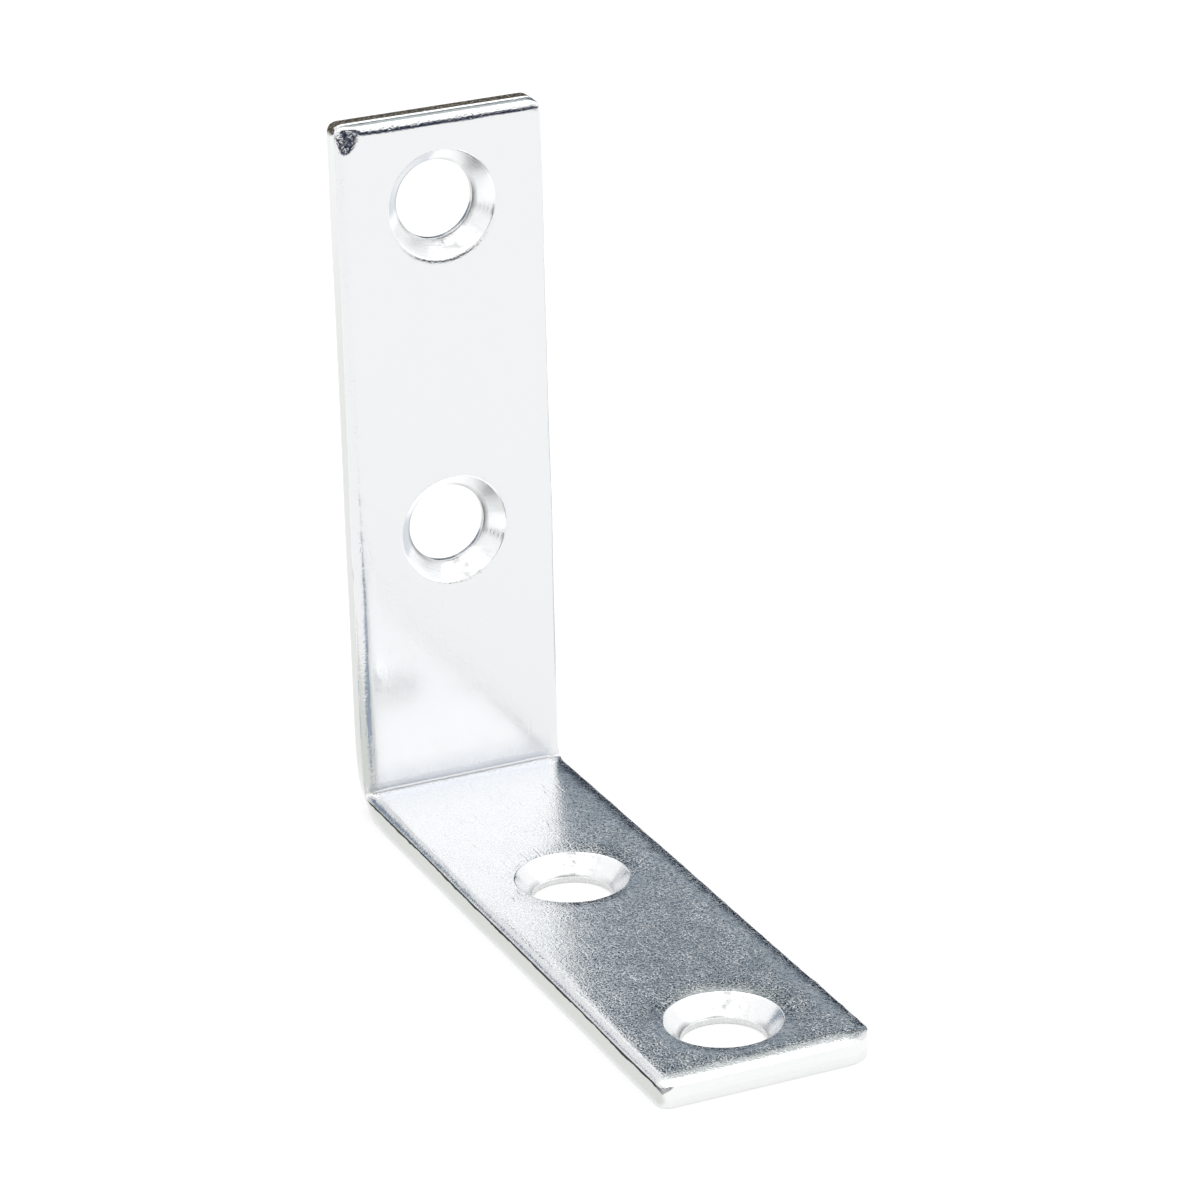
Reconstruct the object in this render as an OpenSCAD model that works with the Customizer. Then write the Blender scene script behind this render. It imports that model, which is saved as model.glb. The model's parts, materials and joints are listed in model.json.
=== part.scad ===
// Angle bracket: one steel strip, blanked, countersunk and folded to a right angle.
// The base leg lies along +X with its outer face on z = 0, the upright rises along +Z,
// and the origin is the middle of the base leg's underside.

/* [Legs] */
// Length of the base leg, measured over the back of the upright
base_leg = 51; // [40:0.5:80]
// Height of the upright leg, measured from the underside
upright_leg = 51; // [40:0.5:80]

/* [Strip] */
// Width of the steel strip
strip_w = 15; // [12:0.5:24]
// Thickness of the steel strip
strip_t = 1.9; // [1.6:0.1:3]
// Radius on the inside of the fold
fold_r = 0.7; // [0.4:0.1:2]
// How far stretching draws each side in at the outside of the fold
fold_draw = 0.35; // [0.1:0.05:0.6]

/* [Blanked edges] */
// Width of the rolled border that blanking leaves around the inner faces
roll_w = 1.2; // [0.6:0.1:1.6]
// Drop of the rolled border where it meets the wall
roll_drop = 0.3; // [0.1:0.05:0.5]
// Height of the rough break along the wall, above the outer face
break_h = 0.7; // [0.3:0.1:0.9]
// How far the rough break leans in at the outer face
break_lean = 0.06; // [0.02:0.02:0.12]
// Radius of the corners at the free end of each leg
corner_r = 0.7; // [0.3:0.1:1.5]

/* [Screw holes] */
// Diameter of the screw holes
hole_d = 5.6; // [4:0.1:6]
// Diameter of the countersinks at the inner face
sink_d = 8; // [6.6:0.1:9.6]
// Straight wall left between each countersink and the outer face
hole_land = 0.45; // [0.2:0.05:0.8]
// Distance from a leg's free end to its outer hole
end_gap = 6.5; // [5.5:0.5:9]
// Distance between the two holes of a leg
hole_pitch = 23.8; // [12:0.1:26]

/* [Hidden] */
$fn = 96;
// Flats that follow the curve of the rolled border
roll_steps = 4;
// Radius on the outside of the fold, which is also where the straight legs begin
fold_out = fold_r + strip_t;
// Overlap that carries a cutting shape clear of the face it cuts
clear = 1;

// Edge of the blank from the outer face up to the inner face: rough break, sheared wall and
// a border that falls away with the square of its nearness to the wall, at a given reach
function edge_points(reach) = [
    [reach - break_lean, 0],
    [reach, break_h],
    for (i = [0:roll_steps])
        let (u = i / roll_steps)
        [reach - roll_w * u, strip_t - roll_drop * pow(1 - u, 2)]
];

function mirrored(points) = [for (i = [len(points) - 1:-1:0]) [-points[i].x, points[i].y]];

// Cross-section of the strip, with the outer face along y = 0
module strip_section() {
    polygon(concat(edge_points(strip_w / 2), mirrored(edge_points(strip_w / 2))));
}

// The same section set out from the fold's axis, inner face nearest the axis
module fold_section() {
    turned = [for (p = edge_points(strip_w / 2)) [fold_out - p.y, p.x]];
    polygon(concat(turned, [for (i = [len(turned) - 1:-1:0]) [turned[i].x, -turned[i].y]]));
}

// All that lies inside a leg's free end, seen from the side
module end_outline(length) {
    edge = edge_points(length);
    polygon(concat(
        [[0, -clear], [edge[0].x, -clear]],
        edge,
        [[length - roll_w, strip_t + clear], [0, strip_t + clear]]
    ));
}

// Waste outside the round corner at one side of a leg's free end
module corner_waste(length) {
    translate([length - corner_r, strip_w / 2 - corner_r, -clear])
        difference() {
            cube([corner_r + clear, corner_r + clear, strip_t + 2 * clear]);
            translate([0, 0, -clear]) cylinder(r = corner_r, h = strip_t + 4 * clear);
        }
}

// Countersunk screw hole, driven from the inner face
module screw_hole() {
    sink_h = strip_t - hole_land;
    slope = (sink_d - hole_d) / 2 / sink_h;
    translate([0, 0, -clear]) cylinder(d = hole_d, h = strip_t + clear);
    translate([0, 0, hole_land])
        cylinder(d1 = hole_d, d2 = sink_d + 2 * slope * clear, h = sink_h + clear);
}

// Straight leg lying along +X from the fold to its free end
module leg(length) {
    difference() {
        intersection() {
            translate([fold_out, 0, 0])
                rotate([90, 0, 90])
                    linear_extrude(length) strip_section();
            translate([0, strip_w, 0])
                rotate([90, 0, 0])
                    linear_extrude(2 * strip_w) end_outline(length);
        }
        corner_waste(length);
        mirror([0, 1, 0]) corner_waste(length);
        for (x = [length - end_gap, length - end_gap - hole_pitch])
            translate([x, 0, 0]) screw_hole();
    }
}

// Quarter turn of the strip between the two legs
module fold() {
    translate([fold_out, 0, fold_out])
        rotate([90, 180, 0])
            rotate_extrude(angle = 90) fold_section();
}

// Wedge that the stretched outside of the fold draws away from one side
module draw_waste() {
    far = fold_out + clear;
    translate([fold_out, 0, fold_out])
        rotate([0, 135, 0])
            linear_extrude(4 * fold_out, center = true)
                polygon([
                    [fold_r, strip_w / 2],
                    [far, strip_w / 2 - fold_draw * (far - fold_r) / strip_t],
                    [far, strip_w / 2 + clear],
                    [fold_r, strip_w / 2 + clear]
                ]);
}

// The whole bracket, moved so that the base leg's middle is the origin
module angle_bracket() {
    color("silver")
        translate([-base_leg / 2, 0, 0])
            difference() {
                union() {
                    leg(base_leg);
                    mirror([1, 0, -1]) leg(upright_leg);
                    fold();
                }
                draw_waste();
                mirror([0, 1, 0]) draw_waste();
            }
}

angle_bracket();
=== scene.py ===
# Angle bracket: one strip of steel, blanked, countersunk, folded and zinc plated.
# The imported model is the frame. The strip's whole surface is worked out here as numpy grids,
# with its rolled borders, sheared walls, dished countersinks and stretched fold.
import json
import math

import bpy
import numpy as np
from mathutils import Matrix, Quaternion, Vector

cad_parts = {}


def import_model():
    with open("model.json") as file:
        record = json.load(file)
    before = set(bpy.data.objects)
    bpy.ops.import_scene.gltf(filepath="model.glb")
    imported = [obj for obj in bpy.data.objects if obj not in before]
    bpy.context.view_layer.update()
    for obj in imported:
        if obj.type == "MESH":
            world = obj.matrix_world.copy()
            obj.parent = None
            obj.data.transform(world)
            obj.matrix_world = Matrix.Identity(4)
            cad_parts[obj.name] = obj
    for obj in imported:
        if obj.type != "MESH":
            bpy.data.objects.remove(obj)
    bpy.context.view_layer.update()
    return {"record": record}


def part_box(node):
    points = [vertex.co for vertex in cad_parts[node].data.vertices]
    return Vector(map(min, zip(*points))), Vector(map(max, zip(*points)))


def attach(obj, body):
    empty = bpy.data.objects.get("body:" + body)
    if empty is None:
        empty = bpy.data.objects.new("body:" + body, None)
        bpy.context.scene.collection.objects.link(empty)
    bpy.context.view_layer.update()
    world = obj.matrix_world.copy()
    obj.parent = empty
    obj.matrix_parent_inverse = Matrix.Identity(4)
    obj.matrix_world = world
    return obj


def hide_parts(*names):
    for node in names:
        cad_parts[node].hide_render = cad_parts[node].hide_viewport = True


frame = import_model()
print("frame loaded")

mm = 0.001  # the frame is in metres, and the grids below are worked out in millimetres


# Colours

def linearColour(code):
    # sRGB hex code to linear RGBA: the sRGB curve undone for each channel
    raw = np.array([int(code[i:i + 2], 16) for i in (1, 3, 5)]) / 255
    rgb = np.where(raw <= 0.04045, raw / 12.92, ((raw + 0.055) / 1.055) ** 2.4)
    return (*rgb.tolist(), 1.0)


# The strip's own sizes, in mm. Legs, width and hole places are read from the frame.
strip = {
    "thickness": 1.9,
    "foldInside": 0.7,
    "foldDraw": 0.35,      # how far stretching draws each side in at the outside of the fold
    "drawReach": 2.8,      # and how far along the strip that fades
    "foldEar": 0.16,       # how far squeezing pushes each side out at the inside of the fold
    "earReach": 2.2,       # and how far along the strip that fades
    "foldPower": 6.0,      # power of the superellipse that the inside of the fold follows
    "foldLines": 37,       # grid lines round the fold
    "creaseRise": 0.11,    # how far the upright's inner face comes forward at the crease
    "creaseLength": 3.0,   # and over what height
    "creaseBright": 0.35,  # half width of the bright line painted as a highlight along the crease
    "rightSpread": (0.08, 0.36),  # extra width at the base leg's right, by the fold and the end
    "spreadStart": 4.0,    # how far out the first of them is reached
    "rollReach": 1.9,      # stretch beside each wall that gets crowded grid lines
    "rollLines": 15,       # and how many
    "softPart": 0.5,       # part of a rolled border's width that only falls softly
    "rollTurn": 0.93,      # share of a quarter ellipse that the rest turns through
    "lipInset": 0.06,      # narrow lip between a rolled border and its wall
    "lipDrop": 0.05,
    "breakLean": 0.03,     # lean of the rough break at the foot of each wall
    "footRound": 0.08,
    "faceMiddle": 5.0,     # half width of the part whose grid lines stay straight
    "holeMargin": 5.0,     # half length of the patch of grid round each hole
    "coarse": 0.42,        # grid spacing along a plain stretch
    "fine": 0.25,          # grid spacing beside a hole
    "across": 0.62,        # grid spacing across the middle of the strip
}

# Rolled borders: width, drop, and the part of the drop that falls softly, in mm, at places
# along the strip, from the upright's free end (negative) through the fold (0) to the base
# leg's free end (positive)
rollPlaces = (-51, -40, -25, -10, -3, 0, 3, 10, 30, 51)
leftRoll = {
    "width": (1.1, 1.2, 1.4, 1.6, 1.7, 1.6, 1.4, 1.2, 1.2, 1.3),
    "drop": (0.36, 0.44, 0.58, 0.66, 0.62, 0.52, 0.42, 0.36, 0.36, 0.36),
    "softDrop": (0.05, 0.06, 0.09, 0.14, 0.18, 0.17, 0.14, 0.11, 0.11, 0.11),
}
rightRoll = {
    "width": (0.8, 0.8, 0.9, 1.1, 1.5, 2.0, 2.2, 2.2, 2.1, 1.9),
    "drop": (0.12, 0.10, 0.14, 0.20, 0.28, 0.29, 0.29, 0.29, 0.28, 0.26),
    "softDrop": (0.03, 0.03, 0.04, 0.08, 0.15, 0.19, 0.20, 0.20, 0.19, 0.17),
}

# The free ends' borders: also the power of nearness that the soft drop follows, and their
# own soft part and turn, as in strip
endRoll = {
    "upright": {"width": 0.80, "drop": 0.76, "softDrop": 0.19, "softPower": 1.25, "softPart": 0.76,
                "turn": 0.7},
    "base": {"width": 2.1, "drop": 0.34, "softDrop": 0.06, "softPower": 2, "softPart": 0.35,
             "turn": 0.93},
}

# Rough break: its height on most walls and on the upright's cropped end, how far that dark
# cropped end carries on round the corners and then fades, how dark the other breaks are
# beside it, and the least height of shear above it
tearing = {"height": 0.7, "croppedHeight": 1.3, "carriesOn": 0.85, "fade": 0.4, "faint": 0.03,
           "leastShear": 0.06}

# The ragged lip that the shear left along the base leg's left side, along which shade is painted
# dark
raggedLip = {
    "drop": 0.15,          # its height
    "starts": 0.5,         # where it begins along the leg, and over what length
    "fade": 1.5,
    "roundCorner": 1.4,    # how far it carries on round the near left corner
    "atEnd": 0.10,         # its share along the rest of the free end
    "onEnd": 0.55,         # share of all of it that is left at that end
    "endsBefore": 1.5,     # how far before the right corner it stops
    "cornerMark": 1.6,     # how much deeper the mark at the near left corner is
    "markReach": 0.8,
}

# Rows of grid down a wall, from the top: shares of the lip's height, of the way from lip to
# break and of the heights of break and foot, and how far each row of these last two is set
# in. Then each row's shares of wall, of painted shade on the lip and of torn break in the finish.
wallSteps = {
    "lip": (0, 0.12, 0.88, 1),
    "shear": (0, 0.35, 0.65, 0.9, 1),
    "break": (0.94, 0.7, 0.45, 0.25),
    "breakInset": (0.1, 0.35, 0.6, 0.8),
    "foot": (1, 0.55, 0.2, 0),
    "footInset": (0, 0.12, 0.5, 1),
    "wallShare": [0, 0.5] + [1] * 15,
    "lipShare": [0, 1, 1] + [0] * 14,
    "tornShare": [0] * 9 + [1] * 8,
}

# Unevenness, in layers of strength, step in mm and seed: shares of the rolled borders'
# widths, of the ragged lip and of the break, and ripples of the face in mm
unevenness = {
    "sideRolls": ((0.10, 2.3, 5), (0.06, 0.7, 6)),
    "endRolls": ((0.08, 1.9, 7),),
    "lip": ((0.35, 0.9, 21), (0.3, 0.3, 22)),
    "break": ((0.1, 0.6, 23),),
    "face": ((0.006, 2.6, 11), (0.002, 0.9, 12)),
}

# Free corners, as (upright left, upright right, base left, base right): outline radius, and
# how far and how deep the press pulls the face down beyond the two rolled borders
corners = {
    "radius": (0.8, 0.85, 0.9, 1.9),
    "reach": (2.1, 1.2, 1.6, 1.9),
    "droop": (0.46, 0.16, 0.20, 0.34),
}

# Powers of the norms that join side and end rolls, and both with the droop, and powers of
# nearness that droop and dishes follow
power = {"rolls": 1.5, "withDroop": 4, "droop": 1.05, "dish": 2.2}

# Countersinks. The dishes and chatterTurn are given for the upright, then for the base leg.
sink = {
    "diameter": 8.0,
    "landHeight": 0.45,
    "rimRound": 0.14,
    "dishWidth": (0.5, 1.9),      # the press pulls the face down a little round each
    "dishDepth": (0.05, 0.12),
    "sideBulge": 0.06,     # and pushes the strip's sides out beside it
    "bulgeReach": 4.0,     # along the strip
    "bulgeOutside": 0.4,   # share of the bulge at the outer face
    "neckBurr": 0.9,       # darkness of the shade painted along the thin burr at the countersink's neck
    "burrWidth": 0.30,
    "burrMean": 0.5,       # it comes and goes round the neck, in two waves of these heights
    "burrWaves": (0.4, 0.3),
    "chatter": 0.60,       # darkness of the patch where the tool chattered
    "chatterReach": 0.07,  # how wide it is, as a fall in the cosine of its angle
    "chatterTurn": (0.3, -0.42),  # its turn from the side towards the fold, in radians
    "chatterGrain": (0.2, 31),    # step in mm and seed of its specks
    "backBreak": 0.15,     # how dark the break at the outer face is
    "backFlare": 0.06,     # how far that break opens the hole
    "frontSteps": 36,      # rows of grid round the hole, and powers that crowd them there
    "backSteps": 8,        # and at the border of the patch
    "crowdAtFront": 1.5,
    "crowdAtBack": 1.3,
    "crowdAtBorder": 2.2,
    "borderPart": 0.55,
}

low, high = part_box("angle_bracket")


def inMm(metres):
    # The frame's sizes in mm, cleared of rounding dust
    return round(metres / mm, 4)


baseLeg, uprightLeg = inMm(high.x - low.x), inMm(high.z - low.z)
halfWidth = inMm(high.y - low.y) / 2
bores = [m for m in frame["record"]["mounts"] if m["kind"] == "bore"]
holeRadius = bores[0]["dims"]["r_mm"]
baseHoles = sorted(inMm(m["pos_m"][0] - low.x) for m in bores if m["axis"][2])
uprightHoles = sorted(inMm(m["pos_m"][2] - low.z) for m in bores if m["axis"][0])
holeCentres = [-h for h in uprightHoles] + baseHoles
foldOut = strip["foldInside"] + strip["thickness"]


# Smooth unevenness

def wander(x, step, seed):
    # Random values between -1 and 1 at even steps along x, joined by a cubic ease
    steps = np.random.default_rng(seed).uniform(-1, 1, 1024)
    k = np.asarray(x) / step + 400
    i = np.floor(k).astype(int)
    f = k - i
    f = f * f * (3 - 2 * f)
    return steps[i % 1024] * (1 - f) + steps[(i + 1) % 1024] * f


def ripple(g, y, step, seed):
    # The same in two directions: random values on a square net, joined by cubic eases
    net = np.random.default_rng(seed).uniform(-1, 1, (128, 128))
    k, m = g / step + 60, y / step + 60
    i, j = np.floor(k).astype(int), np.floor(m).astype(int)
    f, h = k - i, m - j
    f, h = f * f * (3 - 2 * f), h * h * (3 - 2 * h)
    i, j, i2, j2 = i % 128, j % 128, (i + 1) % 128, (j + 1) % 128
    return ((net[i, j] * (1 - f) + net[i2, j] * f) * (1 - h)
            + (net[i, j2] * (1 - f) + net[i2, j2] * f) * h)


def uneven(what, x):
    # The layers of one kind of unevenness, added up
    return sum(level * wander(x, step, seed) for level, step, seed in unevenness[what])


# The strip's inner face. g runs along the strip: minus the height up the upright, plus the
# distance out along the base leg, both from the outer corner. y runs across, t through.

def rolled(nearness, drop, softDrop, softPower=2, softPart=strip["softPart"],
           turn=strip["rollTurn"]):
    # A power of nearness all the way, plus part of a quarter ellipse beyond the soft part:
    # no drop where nearness to the wall is 0, the full drop at 1
    tight = np.clip((nearness - softPart) / (1 - softPart), 0, 1)
    quarter = (1 - np.sqrt(1 - (turn * tight) ** 2)) / (1 - np.sqrt(1 - turn ** 2))
    return softDrop * nearness ** softPower + (drop - softDrop) * quarter


def nearWall(distance, width):
    return np.clip(1 - distance / width, 0, 1)


def joined(a, b, p):
    # p-norm of two lengths: the larger where they differ much, more than either where they
    # are alike
    return (a ** p + b ** p) ** (1 / p)


def atCorner(what, g, y):
    # The value of the nearest free corner
    upright = np.where(y < 0, corners[what][0], corners[what][1])
    return np.where(g < 0, upright, np.where(y < 0, corners[what][2], corners[what][3]))


def faceHeight(g, y):
    # Thickness less the rolled borders (p-norm of side and end) or the droop at each free
    # corner, whichever is more, less a dish round each countersink, plus a faint ripple.
    # Droop and dish are powers of nearness.
    side = halfWidth - np.abs(y)
    wobble = 1 + uneven("sideRolls", g)
    width, drop, softDrop = [
        np.where(y < 0, np.interp(g, rollPlaces, leftRoll[what]),
                 np.interp(g, rollPlaces, rightRoll[what]))
        for what in ("width", "drop", "softDrop")]
    sideDrop = rolled(nearWall(side, width * wobble), drop, softDrop)
    wobbleEnd = 1 + uneven("endRolls", y)
    end = np.where(g > 0, baseLeg - g, uprightLeg + g)
    width, *shape = [np.where(g > 0, endRoll["base"][what], endRoll["upright"][what])
                     for what in ("width", "drop", "softDrop", "softPower", "softPart", "turn")]
    endDrop = rolled(nearWall(end, width * wobbleEnd), *shape)
    drop = joined(sideDrop, endDrop, power["rolls"])
    reach, droop = atCorner("reach", g, y), atCorner("droop", g, y)
    droop = droop * nearWall(np.hypot(end, side), reach * wobbleEnd) ** power["droop"]
    height = strip["thickness"] - joined(drop, droop, power["withDroop"])
    for centre in holeCentres:
        away = np.hypot(g - centre, y) - sink["diameter"] / 2
        leg = int(centre > 0)
        dish = nearWall(away, sink["dishWidth"][leg]) ** power["dish"]
        height = height - sink["dishDepth"][leg] * dish
    ripples = sum(level * ripple(g, y, step, seed) for level, step, seed in unevenness["face"])
    return height + ripples


def plan(g, y, t, inset):
    # Outline seen from above the face: the border is pulled in by inset, the free corners
    # are rounded by the square-to-disc map, the sides bulge beside the countersinks, and
    # the fold's sides go in at the outside and out at the inside
    end = np.where(g > 0, baseLeg, uprightLeg)
    s, a = np.abs(g), np.abs(y)
    s = s - inset * np.clip(s - (end - 1), 0, 1)
    a = a - inset * np.clip(a - (halfWidth - 1), 0, 1)
    r = atCorner("radius", g, y)
    p, q = (s - (end - r)) / r, (a - (halfWidth - r)) / r
    corner = (p > 0) & (q > 0)
    pc, qc = np.where(corner, p, 0), np.where(corner, q, 0)
    s = np.where(corner, end - r + r * pc * np.sqrt(1 - qc ** 2 / 2), s)
    a = np.where(corner, halfWidth - r + r * qc * np.sqrt(1 - pc ** 2 / 2), a)
    border = np.clip((a - strip["faceMiddle"]) / (halfWidth - strip["faceMiddle"]), 0, 1) ** 2
    share = t / strip["thickness"]
    bulge = sum(np.exp(-((g - c) / sink["bulgeReach"]) ** 2) for c in holeCentres)
    bulge = bulge * (sink["bulgeOutside"] + (1 - sink["bulgeOutside"]) * share)
    out = sink["sideBulge"] * bulge
    out = out + strip["foldEar"] * np.exp(-(g / strip["earReach"]) ** 2) * share ** 2
    out = out - strip["foldDraw"] * np.exp(-(g / strip["drawReach"]) ** 2) * (1 - share)
    wider = np.interp(g, [0, strip["spreadStart"], baseLeg], [0, *strip["rightSpread"]])
    out = out + np.where(y > 0, wider, 0)
    return np.sign(g) * s, np.sign(y) * (a + out * border)


def folded(g, y, t):
    # Bends the flat strip: straight up the upright, a quarter turn about the fold's axis,
    # straight out along the base leg. The turn is round outside and squarer inside, and
    # the upright's inner face comes forward near it with the square of its nearness.
    share = t / strip["thickness"]
    turn = np.clip((g + foldOut) / (2 * foldOut), 0, 1) * math.pi / 2
    square = 1 / joined(np.cos(turn), np.sin(turn), strip["foldPower"])
    reach = (foldOut - t) * (1 + (square - 1) * np.clip(share, 0, 1) ** 2)
    x = foldOut - reach * np.cos(turn) + np.maximum(g - foldOut, 0)
    z = foldOut - reach * np.sin(turn) + np.maximum(-g - foldOut, 0)
    near = nearWall(np.abs(z - strip["thickness"]), strip["creaseLength"])
    onFace = (g < 0) & (z > strip["thickness"])
    x = x + np.where(onFace, share ** 2 * strip["creaseRise"] * near ** 2, 0)
    return np.stack([x + inMm(low.x), y + 0 * x, z], -1)


# Grid lines

def crowded(reach, steps):
    # Distances from a wall, from reach down to 0, crowded as the sine of an even turn
    return reach * (1 - np.sin(np.linspace(0, math.pi / 2, steps + 1)))


def spaced(start, end, gap):
    return np.linspace(start, end, max(2, round(abs(end - start) / gap) + 1))


def lineUp(*runs):
    # Joins runs of places into one rising line, leaving out repeats
    return np.unique(np.round(np.concatenate(runs), 6))


def legLines(length, holes):
    # Lines along one leg: fine beside the holes, coarse between, crowded at the free end
    margin, reach = strip["holeMargin"], strip["rollReach"]
    stops = [foldOut]
    runs = []
    for hole in holes:
        runs.append(spaced(stops[-1], hole - margin, strip["coarse"]))
        runs.append(spaced(hole - margin, hole + margin, strip["fine"]))
        stops.append(hole + margin)
    runs.append(spaced(stops[-1], length - reach, strip["coarse"]))
    runs.append(length - crowded(reach, strip["rollLines"]))
    return lineUp(*runs)


sideLines = halfWidth - crowded(strip["rollReach"], strip["rollLines"])
middleLines = spaced(-sideLines[0], sideLines[0], strip["across"])
yLines = lineUp(-sideLines, middleLines, sideLines)
foldLines = np.linspace(-foldOut, foldOut, strip["foldLines"])
gLines = lineUp(-legLines(uprightLeg, uprightHoles), foldLines, legLines(baseLeg, baseHoles))


# Grids of points and their faces

# zones holds, per point, its place in the flat strip, then its shares of wall, lip (painted
# shade, and chatter marks), break and cone (also the painted highlight along the crease)
points, faces, zones = [], [], []


def addGrid(g, y, t, inset=0.0, flip=False, zone=(0, 0, 0, 0), loop=False):
    # One grid of the strip's surface, rows by columns, put through plan() and folded().
    # Faces join neighbours, turned over where flip is set and closed round where loop is.
    g, y, t, inset = np.broadcast_arrays(g, y, t, inset)
    flatG, flatY = plan(g, y, t, inset)
    place = folded(flatG, flatY, t)
    rows, columns = t.shape
    index = sum(len(p) for p in points) + np.arange(rows * columns).reshape(rows, columns)
    if loop:
        index = np.concatenate([index, index[:, :1]], 1)
    quads = np.stack([index[:-1, :-1], index[1:, :-1], index[1:, 1:], index[:-1, 1:]], -1)
    quads = quads.reshape(-1, 4)
    points.append(place.reshape(-1, 3))
    faces.append(quads[:, ::-1] if flip else quads)
    shares = [np.broadcast_to(z, t.shape).reshape(-1) for z in (g, y, t, *zone)]
    zones.append(np.stack(shares, -1))


def wallRows(g, y):
    # Rows down a wall, as thickness left: lip, burnished shear, rough break and a rounded
    # foot. Returns the rows, how far each is set in, and its zone shares. The unevenness
    # runs on a slant across the sheet, so that it varies along sides and ends alike.
    top = faceHeight(g, y)
    slant = 0.83
    along = g + slant * y
    ragged = np.clip(raggedLip["roundCorner"] - (y + halfWidth), raggedLip["atEnd"], 1)
    ragged = ragged * np.clip((g - raggedLip["starts"]) / raggedLip["fade"], 0, 1)
    ragged = ragged * (y < halfWidth - raggedLip["endsBefore"])
    ragged = ragged * (1 - (1 - raggedLip["onEnd"]) * np.clip(g - baseLeg + 1, 0, 1))
    lip = strip["lipDrop"] + ragged * (raggedLip["drop"] - strip["lipDrop"])
    fromCorner = np.hypot(g - baseLeg, y + halfWidth) / raggedLip["markReach"]
    lip = lip * (1 + raggedLip["cornerMark"] * np.exp(-fromCorner ** 2))
    lip = lip * (1 + uneven("lip", along))
    shear = top - lip
    cropped = np.clip((tearing["carriesOn"] - (g + uprightLeg)) / tearing["fade"], 0, 1)
    tear = tearing["height"] + cropped * (tearing["croppedHeight"] - tearing["height"])
    tear = np.minimum(tear * (1 + uneven("break", along)), shear - tearing["leastShear"])
    torn = tearing["faint"] + cropped * (1 - tearing["faint"])
    foot, edge = strip["footRound"], 0.02
    rows = [top - lip * k for k in wallSteps["lip"]]
    rows += [shear - edge + (tear - shear + edge) * k for k in wallSteps["shear"]]
    rows += [tear * k for k in wallSteps["break"]]
    rows += [foot * k + 0 * top for k in wallSteps["foot"]]
    inset = [strip["lipInset"] * (1 - k) for k in wallSteps["lip"]]
    inset += [0] * len(wallSteps["shear"])
    inset += [strip["breakLean"] * k for k in wallSteps["breakInset"]]
    inset += [strip["breakLean"] + foot * k for k in wallSteps["footInset"]]
    shares = [wallSteps[name] for name in ("wallShare", "lipShare", "tornShare")]
    inset, wall, lipShare, tornShare = [np.array(v, dtype=float)[:, None]
                                        for v in (inset, *shares)]
    # the ragged lip's share of the lip zone, where shade is painted dark
    return np.array(rows), inset, (wall, lipShare * ragged, tornShare * torn, 0)


def addWalls():
    for side, flip in ((-1, False), (1, True)):
        y = np.full(len(gLines), side * halfWidth)
        rows, inset, zone = wallRows(gLines, y)
        addGrid(gLines[None, :], y[None, :], rows, inset, flip=flip, zone=zone)
    for end, flip in ((-uprightLeg, True), (baseLeg, False)):
        g = np.full(len(yLines), end)
        rows, inset, zone = wallRows(g, yLines)
        addGrid(g[None, :], yLines[None, :], rows, inset, flip=flip, zone=zone)


def plainStretches():
    # Stretches of the strip between the patches round the holes
    margin = strip["holeMargin"]
    cuts = [-uprightLeg]
    for hole in sorted(holeCentres):
        cuts += [hole - margin, hole + margin]
    cuts.append(baseLeg)
    return list(zip(cuts[::2], cuts[1::2]))


def linesBetween(start, end):
    # The grid lines from start to end, with both of these
    dust = 1e-4
    return gLines[(gLines > start - dust) & (gLines < end + dust)]


def addPlainFaces():
    for start, end in plainStretches():
        g, y = np.meshgrid(linesBetween(start, end), yLines, indexing="ij")
        # the highlight painted along the crease is as bright as a cone out to 0.6 of its half
        # width, and fades to nothing at 1.6 of it
        paintedCreaseHighlight = np.clip(1.6 - np.abs(g) / strip["creaseBright"], 0, 1)
        addGrid(g, y, faceHeight(g, y), strip["lipInset"], zone=(0, 0, 0, paintedCreaseHighlight))
        addGrid(g, y, 0 * g, strip["breakLean"] + strip["footRound"], flip=True)


def patchLoop(centre):
    # Border of the patch round a hole, as one loop of grid places
    run = linesBetween(centre - strip["holeMargin"], centre + strip["holeMargin"])
    g = np.concatenate([run[:-1], np.full(len(yLines) - 1, run[-1]), run[:0:-1],
                        np.full(len(yLines) - 1, run[0])])
    y = np.concatenate([np.full(len(run) - 1, yLines[0]), yLines[:-1],
                        np.full(len(run) - 1, yLines[-1]), yLines[:0:-1]])
    return g, y


def spread(steps, atHole):
    # Shares from 0 at the hole to 1 at the patch's border, crowded at both ends: part is a
    # power of an even run, the rest is 1 less a power of what is left of it
    k = np.linspace(0, 1, steps + 1)
    part = sink["borderPart"]
    return (1 - part) * (k ** atHole) + part * (1 - (1 - k) ** sink["crowdAtBorder"])


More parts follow.
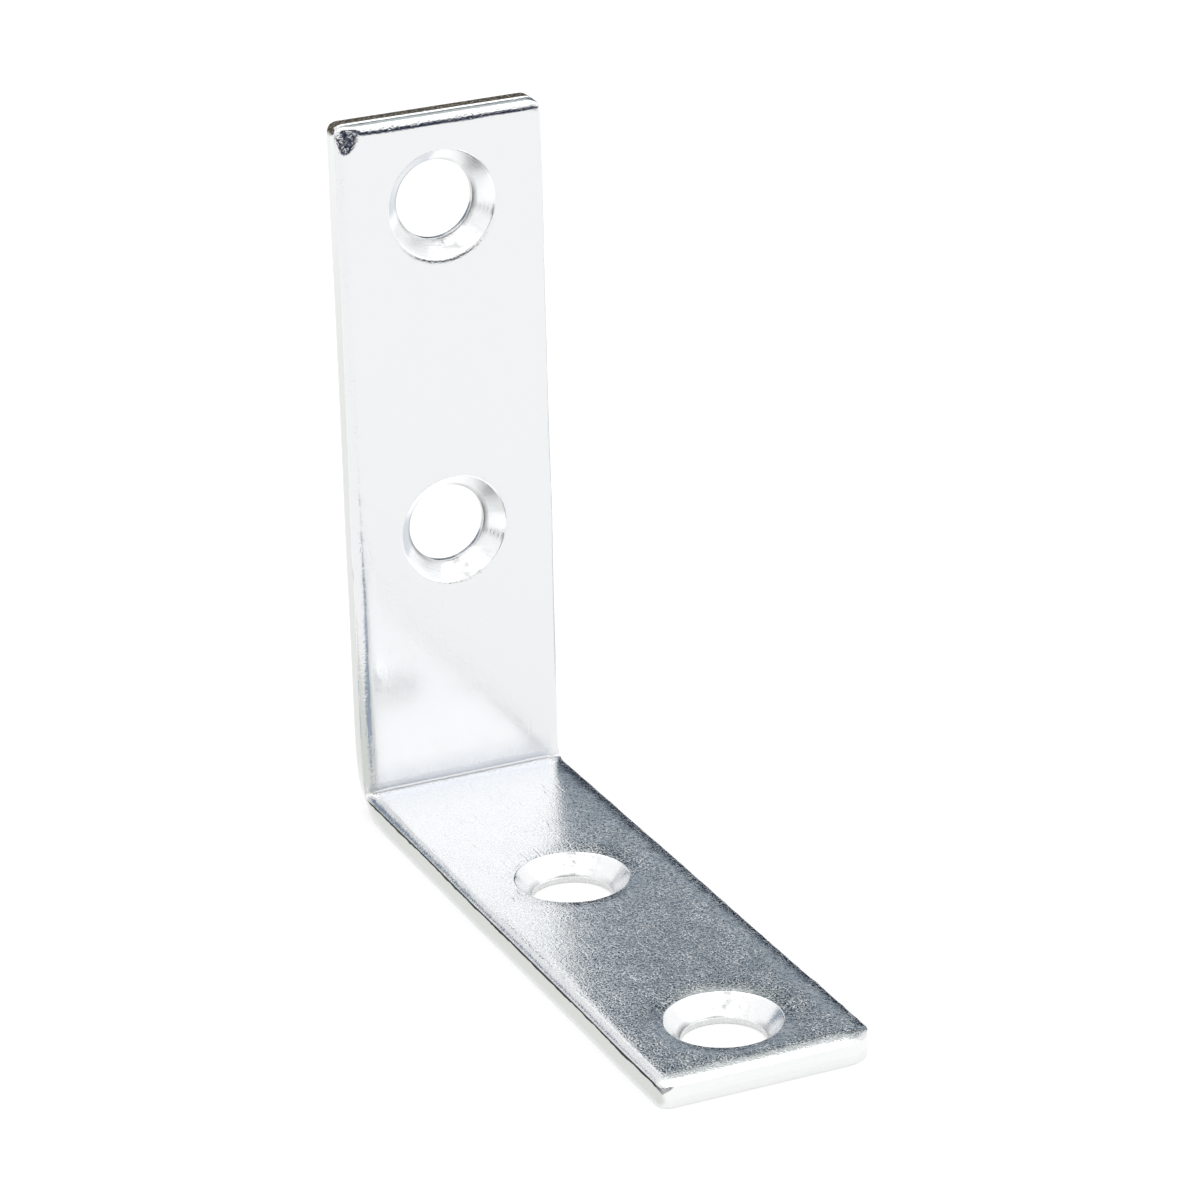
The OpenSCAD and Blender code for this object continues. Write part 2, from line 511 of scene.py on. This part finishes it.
def addHole(centre):
    loopG, loopY = patchLoop(centre)
    angle = np.arctan2(loopY, loopG - centre)
    # the patch: straight rays from the countersink's rim to the loop
    for radius, steps, atHole, top in (
        (sink["diameter"] / 2, sink["frontSteps"], sink["crowdAtFront"], True),
        (holeRadius + sink["backFlare"], sink["backSteps"], sink["crowdAtBack"], False),
    ):
        share = spread(steps, atHole)[:, None]
        rimG, rimY = centre + radius * np.cos(angle), radius * np.sin(angle)
        g, y = rimG + (loopG - rimG) * share, rimY + (loopY - rimY) * share
        if top:
            addGrid(g, y, faceHeight(g, y), strip["lipInset"], loop=True)
        else:
            addGrid(g, y, 0 * g, strip["breakLean"] + strip["footRound"], flip=True, loop=True)
    # the bore: a profile of radius and thickness left, carried round the hole
    leg = int(centre > 0)
    radius, left, cone, rough, neck = sinkProfile(sink["dishDepth"][leg])
    rimG, rimY = np.cos(angle) * sink["diameter"] / 2, np.sin(angle) * sink["diameter"] / 2
    lift = faceHeight(centre + rimG, rimY) - left[0]
    fade = np.clip((left - sink["landHeight"]) / (left[0] - sink["landHeight"]), 0, 1)
    g = centre + radius[:, None] * np.cos(angle)
    y = radius[:, None] * np.sin(angle)
    t = left[:, None] + lift * fade[:, None]
    # the neck's burr, painted as a dark line of shade: its mean plus a wave of two and one of five
    # crests
    slow, quick = sink["burrWaves"]
    burrShadeAndChatter = sink["burrMean"] + slow * np.sin(2 * angle + centre) + quick * np.sin(5 * angle)
    burrShadeAndChatter = sink["neckBurr"] * np.clip(burrShadeAndChatter, 0, 1) * neck[:, None]
    # the tool chattered near the side towards the fold: a patch that fades with the cosine
    # of the angle from its middle, broken into specks
    middle = math.pi * (centre > 0) + sink["chatterTurn"][leg]
    patch = np.exp((np.cos(angle - middle) - 1) / sink["chatterReach"])
    specks = np.clip(0.5 + ripple(g, y, *sink["chatterGrain"]), 0, 1)
    burrShadeAndChatter = np.maximum(burrShadeAndChatter, sink["chatter"] * patch * specks * cone[:, None])
    addGrid(g, y, t, flip=True, loop=True,
            zone=(0, burrShadeAndChatter, sink["backBreak"] * rough[:, None], cone[:, None]))


def sinkProfile(dish):
    # Rounded rim, straight cone, rounded neck, land and a small break at the outer face, as
    # radius and thickness left, then the shares of cone, break and neck of each row
    rim, land = sink["diameter"] / 2, sink["landHeight"]
    top = strip["thickness"] - dish
    slope = math.atan2(top - land, rim - holeRadius)
    # the rim, as part of a circle
    turn = np.linspace(0.12, 1, 6) * slope
    r0 = sink["rimRound"]
    radius = np.concatenate([[rim], rim - r0 * np.sin(turn)])
    left = np.concatenate([[top], top - r0 * (1 - np.cos(turn))])
    # the cone, in even steps down to the neck
    k = np.linspace(0, 1, 12)[1:]
    neckRadius, neckLeft = holeRadius + 0.03, land + 0.04
    radius = np.concatenate([radius, radius[-1] + (neckRadius - radius[-1]) * k])
    left = np.concatenate([left, left[-1] + (neckLeft - left[-1]) * k])
    # the land and the break, by how far each row lies outside the bore
    landOut = np.array([0.008, 0, 0, 0, 0.01, sink["backFlare"]])
    landLeft = np.array([land, land - 0.05, 0.3, 0.15, 0.06, 0])
    radius = np.concatenate([radius, holeRadius + landOut])
    left = np.concatenate([left, landLeft])
    cone = (left > land + 0.02) & (radius < rim - 0.05)
    rough = left < land - 0.02
    neck = np.where(left > land, nearWall(radius - holeRadius, sink["burrWidth"]), 0)
    return radius, left, cone.astype(float), rough.astype(float), neck.astype(float)


def welded(places, quads, shares):
    # Points that lie in the same place become one, and faces that lose a corner go. The
    # shift keeps round numbers away from the half steps where rounding could part them.
    key = np.round(places / 1e-5 + 0.137).astype(np.int64)
    unused, first, back = np.unique(key, axis=0, return_index=True, return_inverse=True)
    quads = back.reshape(-1)[quads]
    whole = (np.diff(np.sort(quads, 1), axis=1) > 0).all(1)
    most = np.full((len(first), shares.shape[1]), -1e9)
    np.maximum.at(most, back.reshape(-1), shares)
    return places[first], quads[whole], most


def makeBracket():
    # All the grids, welded into one closed surface
    addPlainFaces()
    for centre in holeCentres:
        addHole(centre)
    addWalls()
    places, quads, shares = welded(np.concatenate(points), np.concatenate(faces),
                                   np.concatenate(zones))
    mesh = bpy.data.meshes.new("pressed_bracket")
    mesh.from_pydata((places * mm).tolist(), [], quads.tolist())
    sheet = mesh.attributes.new("sheet", "FLOAT_VECTOR", "POINT")  # flat place in mm
    sheet.data.foreach_set("vector", shares[:, :3].astype(np.float32).reshape(-1))
    # the lip share carries painted shade, and the cone share also the painted highlight along the
    # crease
    for k, name in enumerate(("wall", "lip", "break", "cone")):
        layer = mesh.attributes.new(name, "FLOAT", "POINT")
        layer.data.foreach_set("value", shares[:, 3 + k].astype(np.float32))
    mesh.polygons.foreach_set("use_smooth", np.ones(len(mesh.polygons), dtype=bool))
    mesh.update()
    piece = bpy.data.objects.new("pressed_bracket", mesh)
    bpy.context.scene.collection.objects.link(piece)
    return piece


bracket = makeBracket()
print("surface made:", len(bracket.data.vertices), "points,", len(bracket.data.polygons), "faces")


# Materials

def node(tree, kind, settings=None, **links):
    # Adds one node. settings go to its properties, or to sockets where they are numbers by
    # name or index; links go to sockets, with "in0", "in1" standing for a socket's index.
    made = tree.nodes.new(kind)
    for name, value in (settings or {}).items():
        if isinstance(name, int) or name in made.inputs:
            made.inputs[name].default_value = value
        else:
            setattr(made, name, value)
    for name, source in links.items():
        socket = int(name[2:]) if name[:2] == "in" and name[2:].isdigit() else name
        tree.links.new(source, made.inputs[socket])
    return made


zinc = {
    "colour": "#E6E7E8",       # bright zinc under a clear passivation
    "wallColour": "#F0F1F1",   # smooth sheared walls
    "bandColour": "#D3D8E1",   # painted grey-blue reflection of the dark horizon, just above the crease
    "bandTint": (0.4, 0.5),    # share of it in the whole band, and how much more on the grain
    "coneColour": "#F8F9FA",   # the countersinks' turned metal takes the brightest plating, and a highlight is painted along the crease in it
    "lipColour": "#3C3C39",    # painted shade along the ragged lip of the shear and along the countersinks' neck burrs, and the colour of the chatter marks
    "breakColour": "#473E33",  # torn steel, which takes less zinc
    "breakSpecks": "#D2C8B8",
    "roughness": 0.115,
    "roughnessSpread": 0.04,   # how much it drifts from patch to patch
    "patchWidth": 1 / 0.3,     # mm
    "coneRoughness": 0.20,
    "wallRoughness": 0.32,
    "breakRoughness": 0.55,
    "grainWidth": 0.35,        # mm, the sheet's matt rolled grain under the plating
    "grainDepth": 0.022,       # mm, drawn deeper than real grain, so that it shows
    "ridgeHeight": 1.2,        # the grain's two layers: long ridges and finer bumps
    "bumpHeight": 0.45,
    "grainOnUpright": 0.3,     # share of the grain that the folding tool left on the upright
    "grainOnRolls": 0.80,      # share that is left where the metal was drawn down to a wall
    "grainOnTopEnd": 0.9,      # share beside the upright's free end, and of the flecks there
    "flecksOnTopEnd": 0.25,
    "grainOnCones": 0.40,
    "cloudWidth": 1.5,         # mm, broad unevenness of the plating
    "cloudDepth": 0.010,
    "fleckRoughness": 0.70,    # dull flecks, which stay pale where the mirror turns dark
    "fleckThinness": 7.0,      # higher narrows them
    "fleckBreak": 0.42,        # higher leaves fewer of them
    "fleckSharpness": 6.0,     # higher gives them harder ends
    "fleckEvenness": 0.25,     # higher spreads them more evenly
    "fleckDensity": 1.1,
    "ironedFrom": 5.0,         # mm from the fold, where the ironed flecks begin to come back
    "ironedLength": 9.0,       # mm, over which they do
    "ironedLeast": 0.4,        # share of them that is left beside the fold
    "creaseBand": 4.1,         # mm along the sheet, where the dull band above the crease starts
    "creaseFade": 2.6,         # mm, over which it grows to its full dullness
    "creaseDullness": 0.22,
    "scratchDepth": 0.014,
    "scratchBend": 0.6,        # mm, how far scratches stray from straight
    "ringSpacing": 0.23,       # mm, marks of the countersinking tool
    "ringDepth": 0.0004,
    "tearWidth": 1 / 6,        # mm, the torn break's crumbs
    "tearDepth": 0.03,
    "speckFrom": 0.52,         # higher leaves fewer pale specks on it
    "speckSharpness": 9.0,
    "streakWidth": 0.16,       # mm, drag marks of the shear along the walls
    "streakLength": 5.0,
    "streakDepth": 0.006,
}

# Where parts of the finish begin along the sheet, in mm, and over what length: the upright's
# calmer face and its free end, the end of the dull band with painted reflection at the crease,
# and the plain face as against its rolled borders, by how far it lies below the full thickness
zincPlaces = {
    "upright": (0.4, 1.6),
    "topEnd": (2.8 - uprightLeg, 0.9),
    "bandEnd": (0.4, 0.5),
    "face": (0.06, 0.05),
}

# Stray scratches: turn in degrees, then length, width and spacing, in mm
scratches = (
    (12, 1.0, 0.07, 1.2),
    (67, 0.7, 0.06, 1.4),
    (-38, 0.8, 0.06, 1.3),
)


def zincPlate():
    # Zinc-plated cold-rolled steel, barrel plated and clear passivated. It looks like a
    # bright but slightly milky mirror: fine grain with dull flecks, short stray scratches,
    # plain sheared walls, and a dark torn break where the strip was cropped.
    # Painted into its colour are shade along the ragged lip and the neck burrs, a grey-blue
    # reflection in the band above the crease, and a highlight along the crease.
    material = bpy.data.materials.new("zincPlatedColdRolledSteel")
    material.use_nodes = True
    tree = material.node_tree
    tree.nodes.clear()

    def maths(operation, a, b=0.0, clamp=False):
        made = node(tree, "ShaderNodeMath", {"operation": operation, "use_clamp": clamp})
        for k, value in enumerate((a, b)):
            if isinstance(value, (int, float)):
                made.inputs[k].default_value = value
            else:
                tree.links.new(value, made.inputs[k])
        return made.outputs[0]

    def share(name):
        return node(tree, "ShaderNodeAttribute", {"attribute_name": name}).outputs["Fac"]

    sheet = node(tree, "ShaderNodeAttribute", {"attribute_name": "sheet"}).outputs["Vector"]
    wall, lip, torn, cone = share("wall"), share("lip"), share("break"), share("cone")

    def before(start, length):
        # 0 beyond a start along the sheet, rising to 1 over a length towards the upright
        return maths("DIVIDE", maths("SUBTRACT", start, along), length, clamp=True)

    def keeping(value, where, left):
        # The value, of which only the left share stays where that is 1
        lost = maths("MULTIPLY", where, 1 - left)
        return maths("MULTIPLY", value, maths("SUBTRACT", 1.0, lost))

    # grain: worm-like ridges from one noise folded about its middle, plus a finer noise
    cells = 1.3 / zinc["grainWidth"]  # per mm, since the noise's bumps are 1.3 cells wide
    grain = node(tree, "ShaderNodeTexNoise",
                 {"Scale": cells, "Detail": 2.0, "Roughness": 0.55},
                 Vector=sheet).outputs["Fac"]
    fold = maths("ABSOLUTE", maths("SUBTRACT", grain, 0.5))
    finer = node(tree, "ShaderNodeTexNoise",
                 {"Scale": 2 * cells, "Detail": 1.0, "Roughness": 0.5},
                 Vector=sheet).outputs["Fac"]
    grained = maths("ADD", maths("MULTIPLY", fold, zinc["ridgeHeight"]),
                    maths("MULTIPLY", finer, zinc["bumpHeight"]))
    # only part of it is left on rolled borders, on the upright's flat face and on cones
    place = node(tree, "ShaderNodeSeparateXYZ", Vector=sheet)
    along, depth = place.outputs["X"], place.outputs["Z"]
    onUpright = before(*zincPlaces["upright"])
    onTopEnd = before(*zincPlaces["topEnd"])
    below, rise = zincPlaces["face"]
    flat = maths("SUBTRACT", depth, strip["thickness"] - below)
    flat = maths("MULTIPLY", flat, 1 / rise, clamp=True)
    calm = maths("MULTIPLY", onUpright, 1 - zinc["grainOnUpright"])
    marked = maths("MULTIPLY", maths("SUBTRACT", 1 - zinc["grainOnRolls"], calm), flat)
    marked = maths("ADD", marked, zinc["grainOnRolls"])
    marked = keeping(marked, cone, zinc["grainOnCones"])
    marked = keeping(marked, onTopEnd, zinc["grainOnTopEnd"])
    height = maths("MULTIPLY", maths("MULTIPLY", grained, marked), zinc["grainDepth"] * mm)
    # clouds: broad, shallow noise
    cloud = node(tree, "ShaderNodeTexNoise", {"Scale": 1 / zinc["cloudWidth"], "Detail": 1.0},
                 Vector=sheet).outputs["Fac"]
    billow = maths("MULTIPLY", maths("MULTIPLY", cloud, marked), zinc["cloudDepth"] * mm)
    height = maths("ADD", height, billow)
    # flecks: the grain's ridge lines, broken up by the finer noise and by the clouds
    ridge = maths("SUBTRACT", 1.0, maths("MULTIPLY", fold, zinc["fleckThinness"]), clamp=True)
    pieces = maths("MULTIPLY", maths("SUBTRACT", finer, zinc["fleckBreak"]),
                   zinc["fleckSharpness"], clamp=True)
    density = maths("MULTIPLY", maths("ADD", cloud, zinc["fleckEvenness"]),
                    zinc["fleckDensity"], clamp=True)
    fleck = maths("MULTIPLY", maths("MULTIPLY", ridge, pieces), density)
    # the folding tool ironed most of them out beside the fold
    back = maths("DIVIDE", maths("SUBTRACT", along, zinc["ironedFrom"]), zinc["ironedLength"],
                 clamp=True)
    back = maths("ADD", maths("MULTIPLY", back, 1 - zinc["ironedLeast"]), zinc["ironedLeast"])
    fleck = keeping(maths("MULTIPLY", fleck, back), onTopEnd, zinc["flecksOnTopEnd"])
    fleck = maths("MULTIPLY", fleck, marked)
    # scratches: cells stretched along one direction, each marked only at its middle
    bent = node(tree, "ShaderNodeTexNoise", {"Scale": 1.1, "Detail": 1.0},
                Vector=sheet).outputs["Color"]
    bent = node(tree, "ShaderNodeVectorMath",
                {"operation": "MULTIPLY_ADD", 1: (zinc["scratchBend"], zinc["scratchBend"], 0)},
                in0=bent, in2=sheet).outputs[0]
    for turn, length, width, spacing in scratches:
        turned = node(tree, "ShaderNodeMapping",
                      {"Rotation": (0, 0, math.radians(turn)), "Location": (turn, turn, 0),
                       "Scale": (width / length, 1, 0)}, Vector=bent).outputs[0]
        stroke = node(tree, "ShaderNodeTexVoronoi",
                      {"voronoi_dimensions": "2D", "Scale": 1 / spacing},
                      Vector=turned).outputs["Distance"]
        mark = maths("SUBTRACT", 1.0, maths("DIVIDE", stroke, width / spacing), clamp=True)
        mark = maths("MULTIPLY", mark, marked)
        height = maths("SUBTRACT", height, maths("MULTIPLY", mark, zinc["scratchDepth"] * mm))
    # tool rings down the cones, and the rough tearing of the break
    ring = maths("SINE", maths("MULTIPLY", depth, 2 * math.pi / zinc["ringSpacing"]))
    ring = maths("MULTIPLY", maths("MULTIPLY", ring, cone), zinc["ringDepth"] * mm)
    tear = node(tree, "ShaderNodeTexNoise",
                {"Scale": 1 / zinc["tearWidth"], "Detail": 3.0, "Roughness": 0.6},
                Vector=sheet).outputs["Fac"]
    speck = maths("MULTIPLY", maths("SUBTRACT", tear, zinc["speckFrom"]),
                  zinc["speckSharpness"], clamp=True)
    tear = maths("MULTIPLY", maths("MULTIPLY", tear, torn), zinc["tearDepth"] * mm)
    # drag marks: noise drawn out along the walls, which follow the sheet's length or width
    drawn = (1 / zinc["streakLength"], 1 / zinc["streakLength"], 1 / zinc["streakWidth"])
    streak = node(tree, "ShaderNodeVectorMath", {"operation": "MULTIPLY", 1: drawn},
                  in0=sheet).outputs[0]
    streak = node(tree, "ShaderNodeTexNoise", {"Scale": 1.0, "Detail": 2.0},
                  Vector=streak).outputs["Fac"]
    drag = maths("MULTIPLY", maths("MULTIPLY", streak, wall), zinc["streakDepth"] * mm)
    height = maths("ADD", maths("ADD", maths("ADD", height, ring), tear), drag)
    bump = node(tree, "ShaderNodeBump", {"Strength": 1.0, "Distance": 1.0}, Height=height)

    # roughness: slow patches, dull flecks off the walls, and each zone's own
    broad = node(tree, "ShaderNodeTexNoise", {"Scale": 1 / zinc["patchWidth"], "Detail": 3.0},
                 Vector=sheet).outputs["Fac"]
    rough = maths("ADD", zinc["roughness"] - zinc["roughnessSpread"] / 2,
                  maths("MULTIPLY", broad, zinc["roughnessSpread"]))
    dull = maths("MULTIPLY", fleck, zinc["fleckRoughness"] - zinc["roughness"])
    rough = maths("ADD", rough, maths("MULTIPLY", dull, maths("SUBTRACT", 1.0, wall)))
    # the folding tool's dull band, just above the crease, which also takes the painted reflection
    # in the colour below
    rising = maths("DIVIDE", maths("ADD", along, zinc["creaseBand"]), zinc["creaseFade"],
                   clamp=True)
    band = maths("MULTIPLY", maths("MULTIPLY", rising, before(*zincPlaces["bandEnd"])), flat)
    rough = maths("ADD", rough, maths("MULTIPLY", band, zinc["creaseDullness"]))
    for zone, value in ((wall, "wallRoughness"), (cone, "coneRoughness")):
        rough = maths("ADD", rough, maths("MULTIPLY", zone, zinc[value] - zinc["roughness"]))
    rough = maths("ADD", rough, maths("MULTIPLY", torn,
                                      zinc["breakRoughness"] - zinc["wallRoughness"]))
    # colour: each zone is mixed over the ones before it, and the last, the torn break, takes
    # its own mix of brown and pale specks. The painted grey-blue reflection in the crease's band
    # is strongest on the grain; the lip share is painted shade, and the cone share also a painted
    # highlight along the crease.
    everywhere, onGrain = zinc["bandTint"]
    brown = node(tree, "ShaderNodeMix", {"data_type": "RGBA", 6: linearColour(zinc["breakColour"]),
                                         7: linearColour(zinc["breakSpecks"])}, in0=speck)
    tint = None
    # the band's painted grey-blue reflection, strongest on the grain
    paintedReflection = maths("MULTIPLY", band, maths("ADD", maths("MULTIPLY", pieces, onGrain), everywhere))
    for zone, name in ((paintedReflection, "bandColour"), (wall, "wallColour"), (cone, "coneColour"),
                       (lip, "lipColour"), (torn, "breakColour")):
        mix = node(tree, "ShaderNodeMix", {"data_type": "RGBA", 6: linearColour(zinc["colour"]),
                                           7: linearColour(zinc[name])}, in0=zone)
        if tint:
            tree.links.new(tint, mix.inputs[6])
        tint = mix.outputs[2]
    tree.links.new(brown.outputs[2], mix.inputs[7])
    shader = node(tree, "ShaderNodeBsdfPrincipled", {"Metallic": 1.0}, Roughness=rough,
                  Normal=bump.outputs[0])
    tree.links.new(tint, shader.inputs["Base Color"])
    node(tree, "ShaderNodeOutputMaterial", Surface=shader.outputs[0])
    return material


bracket.data.materials.append(zincPlate())
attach(bracket, "root")
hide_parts("angle_bracket")
print("finish made")


# Studio: pale floor, soft boxes overhead, and flags and painted floor shadows that only
# reflections see

studio = {
    "floorRadius": 1.6,
    "floorDrop": 0.00002,      # how far it lies under the bracket
    "floorColour": "#F2F2F2",
    "floorGlow": 0.55,         # share of the floor's white that shadows don't dim
    "worldLight": 1.0,
    "lampPower": 4.0,          # watts that a square metre of soft box gives at a level of 1
}


def throughRays(tree, camera, plain):
    # Mixes two shaders: camera, glossy and transmission rays see the first, others the second
    path = node(tree, "ShaderNodeLightPath")
    seen = node(tree, "ShaderNodeMath", {"operation": "MAXIMUM"},
                in0=path.outputs["Is Camera Ray"], in1=path.outputs["Is Glossy Ray"])
    seen = node(tree, "ShaderNodeMath", {"operation": "MAXIMUM"}, in0=seen.outputs[0],
                in1=path.outputs["Is Transmission Ray"])
    mix = node(tree, "ShaderNodeMixShader", in0=seen.outputs[0], in1=plain, in2=camera)
    return mix.outputs[0]


def makeWorld():
    world = bpy.data.worlds.new("studioWorld")
    bpy.context.scene.world = world
    world.use_nodes = True
    tree = world.node_tree
    tree.nodes.clear()
    white = node(tree, "ShaderNodeBackground", {"Color": (1, 1, 1, 1), "Strength": 1.0})
    plain = node(tree, "ShaderNodeBackground", {"Color": (1, 1, 1, 1),
                 "Strength": studio["worldLight"]})
    node(tree, "ShaderNodeOutputWorld",
         Surface=throughRays(tree, white.outputs[0], plain.outputs[0]))


def makeFloor():
    # A disc just under the bracket. Part of its white is its own glow, so that it meets the
    # white background, and the rest is lit and takes the bracket's shadow.
    radius = studio["floorRadius"]
    turn = np.linspace(0, 2 * math.pi, 97)[:-1]
    rise = 0 * turn - studio["floorDrop"]
    ring = np.stack([radius * np.cos(turn), radius * np.sin(turn), rise], -1)
    mesh = bpy.data.meshes.new("studioFloor")
    mesh.from_pydata(ring.tolist(), [], [list(range(len(turn)))])
    floor = bpy.data.objects.new("studioFloor", mesh)
    bpy.context.scene.collection.objects.link(floor)
    material = bpy.data.materials.new("paleStudioFloor")
    material.use_nodes = True
    tree = material.node_tree
    tree.nodes.clear()
    lit = node(tree, "ShaderNodeBsdfDiffuse", {"Color": linearColour(studio["floorColour"])})
    glow = node(tree, "ShaderNodeEmission", {"Strength": 1.0})
    both = node(tree, "ShaderNodeMixShader", {0: studio["floorGlow"]}, in1=lit.outputs[0],
                in2=glow.outputs[0])
    node(tree, "ShaderNodeOutputMaterial",
         Surface=throughRays(tree, both.outputs[0], lit.outputs[0]))
    mesh.materials.append(material)


def onlyReflected(thing):
    thing.visible_camera = False
    thing.visible_diffuse = False
    thing.visible_shadow = False
    thing.visible_transmission = False


# Flags: parts of rings round the bracket, seen only in its reflections. Azimuth 0 is +X and
# 90 is +Y, in degrees; heights and the radius at the foot and at the top are in metres.
flags = {
    "frontFlag": {"from": -75, "to": 26, "radius": (0.42, 0.90), "low": 0.0005, "high": 0.169,
                  "colour": "#17223C"},
    "frontRightFlag": {"from": 26, "to": 60, "radius": (0.42, 0.90), "low": 0.0005,
                       "high": 0.12, "colour": "#17223C"},
    "backRightFoot": {"from": 120, "to": 174, "radius": (0.42, 0.42), "low": 0.0,
                      "high": 0.135, "colour": "#1C2838"},
    "backRightMiddle": {"from": 120, "to": 172, "radius": (0.42, 0.42), "low": 0.135,
                        "high": 0.214, "colour": "#ACB8C3"},
    "backRightHead": {"from": 120, "to": 170, "radius": (0.42, 0.42), "low": 0.214,
                      "high": 0.33, "colour": "#3E4A57"},
    "backRightCanopy": {"from": 110, "to": 180, "radius": (0.42, 0.42), "low": 0.33,
                        "high": 0.64, "colour": "#D0D6D5"},
    "backLeftFlag": {"from": 174, "to": 212, "radius": (0.42, 0.42), "low": 0.0,
                     "high": 0.22, "colour": "#7F8E9F"},
}

# A boom overhead, from one end to the other
boom = {"ends": ((0.36, -0.25, 0.60), (0.255, 0.0, 0.60)), "width": 0.07, "colour": "#3A4046"}


def glowing(name, colour):
    # A card of one even tone, whatever the lamps do
    material = bpy.data.materials.new(name)
    material.use_nodes = True
    tree = material.node_tree
    tree.nodes.clear()
    glow = node(tree, "ShaderNodeEmission", {"Color": linearColour(colour)})
    node(tree, "ShaderNodeOutputMaterial", Surface=glow.outputs[0])
    material.cycles.emission_sampling = "NONE"
    return material


def makeCard(name, places, quads, colour, blocks=False):
    # A card that only reflections see, and that hides the lamps behind it where blocks is set
    mesh = bpy.data.meshes.new(name)
    mesh.from_pydata(places, [], quads)
    card = bpy.data.objects.new(name, mesh)
    bpy.context.scene.collection.objects.link(card)
    mesh.materials.append(glowing(name, colour))
    onlyReflected(card)
    card.visible_shadow = blocks


def makeFlag(name, flag):
    # A stretch of cone or cylinder wall: azimuth by height
    azimuth = np.radians(np.linspace(flag["from"], flag["to"], 25))
    turn, rise = np.meshgrid(azimuth, [flag["low"], flag["high"]], indexing="ij")
    radius = np.broadcast_to(flag["radius"], turn.shape)
    place = np.stack([radius * np.cos(turn), radius * np.sin(turn), rise], -1)
    index = np.arange(turn.size).reshape(turn.shape)
    quads = np.stack([index[:-1, 0], index[:-1, 1], index[1:, 1], index[1:, 0]], -1)
    makeCard(name, place.reshape(-1, 3).tolist(), quads.tolist(), flag["colour"])


def makeBoom():
    # A flat strip that faces down
    ends = np.array(boom["ends"])
    along = ends[1] - ends[0]
    across = np.array([-along[1], along[0], 0]) / np.hypot(along[0], along[1])
    half = across * boom["width"] / 2
    places = np.array([ends[0] - half, ends[0] + half, ends[1] + half, ends[1] - half])
    makeCard("boom", places.tolist(), [(0, 1, 2, 3)], boom["colour"], blocks=True)


# Shadows painted on the floor as cards, again seen only in reflections: a grey one where the
# bracket's shadow falls, for the upright's left roll, a pale shade under it for all the left
# walls, and a pale shade at the back right for the upright's cones
paintedFloorShadows = {
    "rollFlag": {"height": 0.0001, "colour": "#A0ADBD",
                 "corners": ((-0.016, -0.027), (0.026, -0.027), (0.026, -0.0115),
                             (-0.016, -0.0115))},
    "wallFlag": {"height": 0.00005, "colour": "#E6E8E3",
                 "corners": ((0.026, -0.0077), (-0.026, -0.0077), (-0.15, -0.045),
                             (-0.15, -0.085), (0.026, -0.0116))},
    "coneFlag": {"height": 0.0001, "colour": "#DCE1E6",
                 "corners": ((-0.02, 0.025), (-0.065, 0.025), (-0.14, 0.14), (-0.03, 0.14))},
}


# each of these cards is painted shadow on the floor
def makePaintedFloorShadow(name, flag):
    places = [(x, y, flag["height"]) for x, y in flag["corners"]]
    makeCard(name, places, [tuple(range(len(places)))], flag["colour"])


# Soft boxes: place in metres, sides in metres, and level as how much brighter than the white
# surroundings they look
softBoxes = {
    "topBox": {"place": (0.10, 0.0, 0.75), "size": (1.1, 1.1), "level": 0.8},
    "frontBox": {"place": (0.58, 0.54, 0.46), "size": (1.05, 0.62), "level": 0.42},
}


def makeSoftBox(name, box):
    lamp = bpy.data.lights.new(name, "AREA")
    lamp.shape = "RECTANGLE"
    lamp.size, lamp.size_y = box["size"]
    lamp.energy = box["level"] * studio["lampPower"] * box["size"][0] * box["size"][1]
    thing = bpy.data.objects.new(name, lamp)
    thing.location = box["place"]
    aim = Vector((0, 0, 0.02)) - Vector(box["place"])
    thing.rotation_euler = aim.to_track_quat("-Z", "Y").to_euler()
    thing.visible_camera = False
    bpy.context.scene.collection.objects.link(thing)


view = {
    "place": (0.28552, -0.12583, 0.15306),   # metres, where the photograph was taken from
    "lookAt": (-0.00279, 0.00175, 0.02263),
    "roll": 1.527,                           # degrees, clockwise
    "lens": 154.0,                           # mm, on a sensor 36 mm wide
}


def makeCamera():
    camera = bpy.data.cameras.new("camera")
    camera.lens = view["lens"]
    camera.sensor_width = 36
    camera.clip_start, camera.clip_end = 0.01, 10
    thing = bpy.data.objects.new("camera", camera)
    thing.location = view["place"]
    aim = Vector(view["lookAt"]) - Vector(view["place"])
    thing.rotation_mode = "QUATERNION"
    roll = Quaternion((0, 0, 1), -math.radians(view["roll"]))
    thing.rotation_quaternion = aim.to_track_quat("-Z", "Y") @ roll
    bpy.context.scene.collection.objects.link(thing)
    bpy.context.scene.camera = thing


makeWorld()
makeFloor()
for name, flag in flags.items():
    makeFlag(name, flag)
for name, flag in paintedFloorShadows.items():
    makePaintedFloorShadow(name, flag)
makeBoom()
for name, box in softBoxes.items():
    makeSoftBox(name, box)
makeCamera()
bpy.context.scene.view_settings.view_transform = "Standard"
print("studio made")
